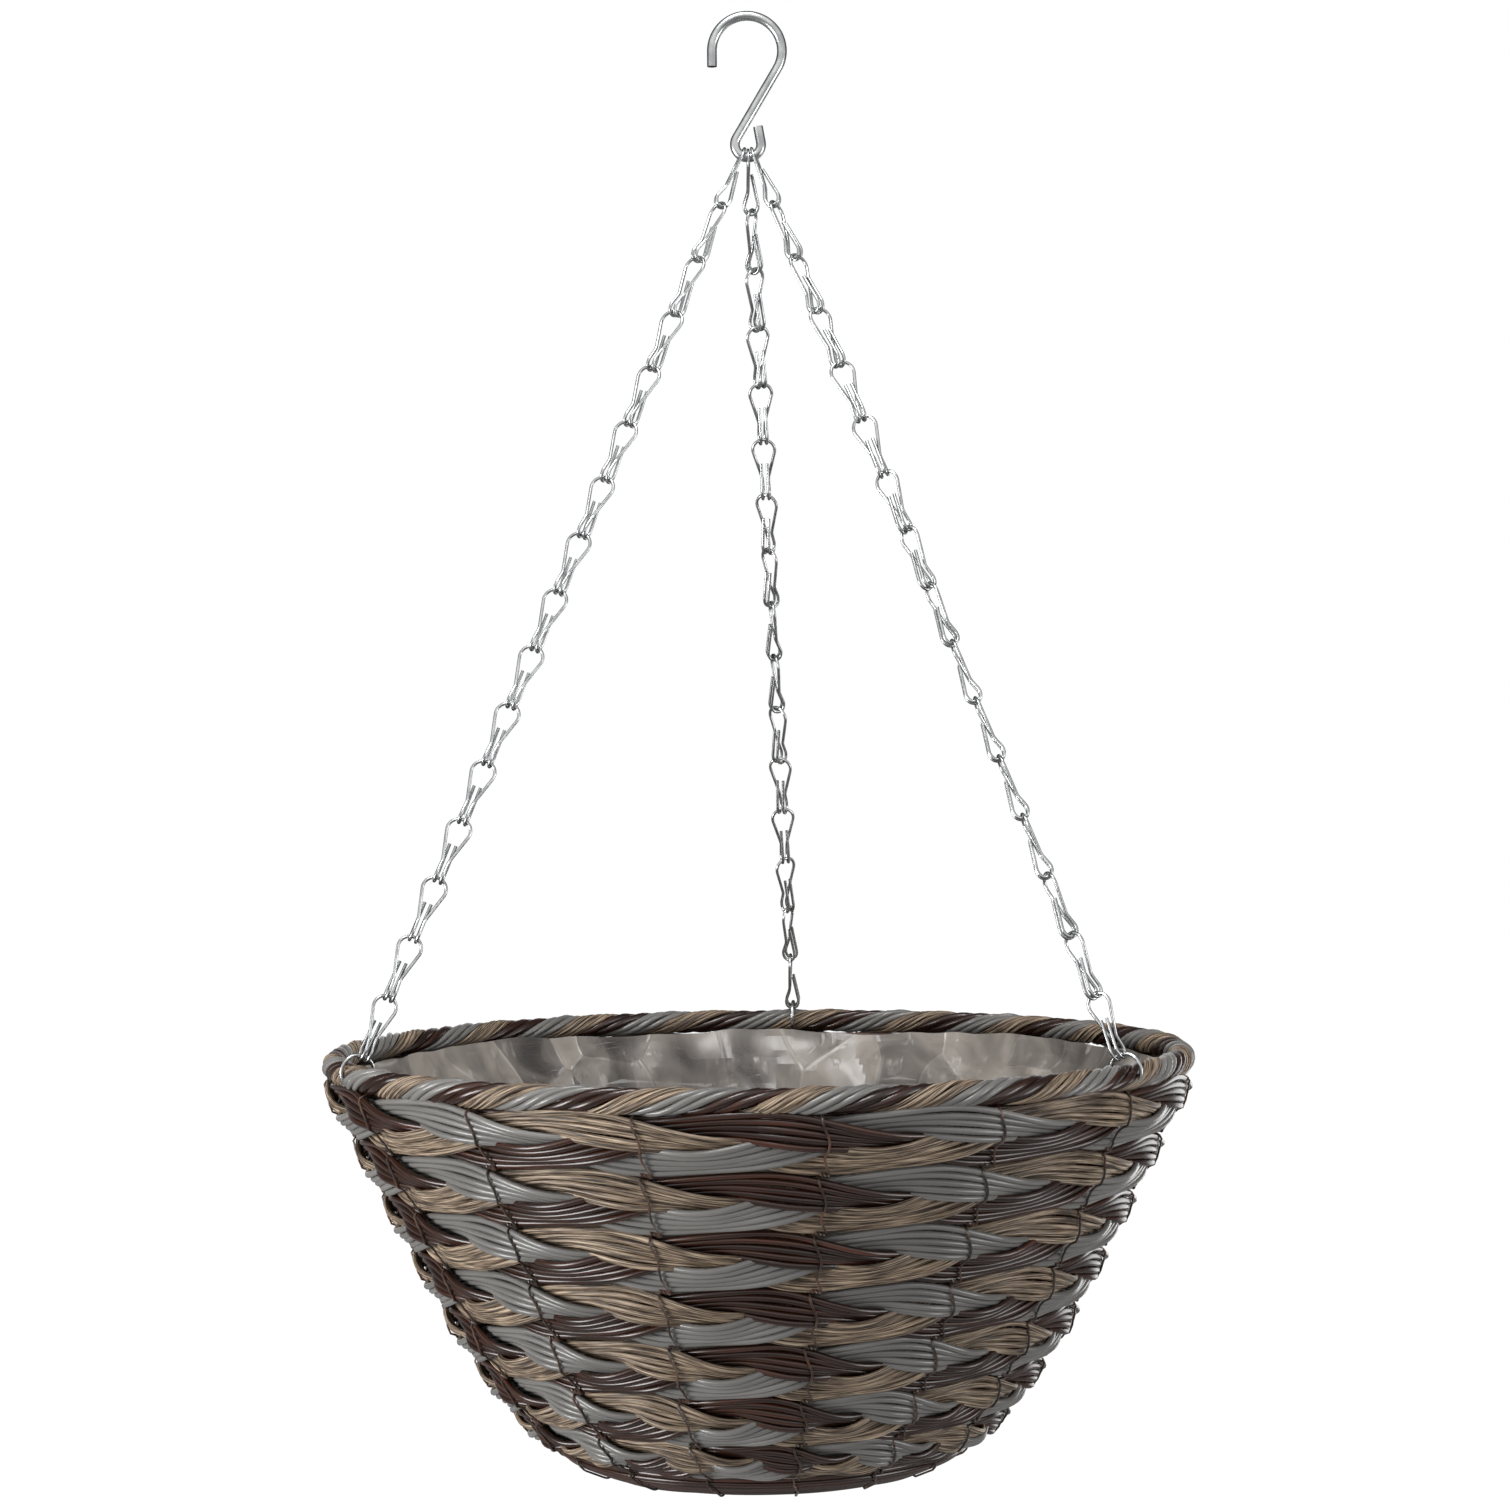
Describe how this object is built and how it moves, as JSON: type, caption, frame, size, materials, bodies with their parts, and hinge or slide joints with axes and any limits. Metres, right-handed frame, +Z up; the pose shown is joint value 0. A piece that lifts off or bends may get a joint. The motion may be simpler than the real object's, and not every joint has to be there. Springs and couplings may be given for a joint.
{
  "type": "hanging basket planter",
  "caption": "Round woven basket planter with a plaited wall, a film liner and a flat base, hung on wire-link chains from a hook.",
  "frame": {"origin": "inside top of the hook's bight, where the planter hangs on its bracket", "axes": "+Z up along the line of hang; -Y is the front, the side the picture shows; +X is to the right seen from the front, and the hook's wire lies in the XZ plane"},
  "size_m": [0.3523, 0.3526, 0.5888],
  "materials": {
    "zinc_wire": "bright zinc-plated wire",
    "dark_wire": "dark brown coated wire",
    "grey_strand": "slate grey round strands, semi-matt",
    "brown_strand": "dark brown round strands with a soft gloss",
    "tan_strand": "weathered tan flat strands with a grain",
    "clear_film": "thin wrinkled clear polythene"
  },
  "bodies": {
    "hanger": {"hook": "zinc_wire"},
    "basket": {"back_chain_link_01": "zinc_wire", "back_chain_link_02": "zinc_wire", "back_chain_link_03": "zinc_wire", "back_chain_link_04": "zinc_wire", "back_chain_link_05": "zinc_wire", "back_chain_link_06": "zinc_wire", "back_chain_link_07": "zinc_wire", "back_chain_link_08": "zinc_wire", "back_chain_link_09": "zinc_wire", "back_chain_link_10": "zinc_wire", "back_chain_link_11": "zinc_wire", "back_chain_link_12": "zinc_wire", "back_chain_link_13": "zinc_wire", "back_chain_link_14": "zinc_wire", "back_chain_link_15": "zinc_wire", "back_chain_link_16": "zinc_wire", "base_weave": "brown_strand", "left_chain_link_01": "zinc_wire", "left_chain_link_02": "zinc_wire", "left_chain_link_03": "zinc_wire", "left_chain_link_04": "zinc_wire", "left_chain_link_05": "zinc_wire", "left_chain_link_06": "zinc_wire", "left_chain_link_07": "zinc_wire", "left_chain_link_08": "zinc_wire", "left_chain_link_09": "zinc_wire", "left_chain_link_10": "zinc_wire", "left_chain_link_11": "zinc_wire", "left_chain_link_12": "zinc_wire", "left_chain_link_13": "zinc_wire", "left_chain_link_14": "zinc_wire", "left_chain_link_15": "zinc_wire", "left_chain_link_16": "zinc_wire", "liner": "clear_film", "plait_course_7": "brown_strand", "plait_courses_1_2": "brown_strand", "plait_courses_3_4": "tan_strand", "plait_courses_5_6": "grey_strand", "right_chain_link_01": "zinc_wire", "right_chain_link_02": "zinc_wire", "right_chain_link_03": "zinc_wire", "right_chain_link_04": "zinc_wire", "right_chain_link_05": "zinc_wire", "right_chain_link_06": "zinc_wire", "right_chain_link_07": "zinc_wire", "right_chain_link_08": "zinc_wire", "right_chain_link_09": "zinc_wire", "right_chain_link_10": "zinc_wire", "right_chain_link_11": "zinc_wire", "right_chain_link_12": "zinc_wire", "right_chain_link_13": "zinc_wire", "right_chain_link_14": "zinc_wire", "right_chain_link_15": "zinc_wire", "right_chain_link_16": "zinc_wire", "rim_rope": "grey_strand", "wire_frame": "dark_wire"},
    "left_rim_ring": {"left_ring": "zinc_wire"},
    "back_rim_ring": {"back_ring": "zinc_wire"},
    "right_rim_ring": {"right_ring": "zinc_wire"}
  },
  "joints": [
    {"name": "basket_swing", "type": "hinge", "parent": "hanger", "child": "basket", "pos_m": [0, 0, -0.05584], "axis": [1, 0, 0], "range_deg": [-25, 25]},
    {"name": "left_ring_turn", "type": "hinge", "parent": "basket", "child": "left_rim_ring", "pos_m": [-0.15464, -0.07047, -0.42011], "axis": [0.4147, -0.91, 0], "continuous": true},
    {"name": "back_ring_turn", "type": "hinge", "parent": "basket", "child": "back_rim_ring", "pos_m": [0.01629, 0.16916, -0.42011], "axis": [-0.9954, 0.0958, 0], "continuous": true},
    {"name": "right_ring_turn", "type": "hinge", "parent": "basket", "child": "right_rim_ring", "pos_m": [0.13835, -0.09868, -0.42011], "axis": [0.5807, 0.8141, 0], "continuous": true}
  ]
}
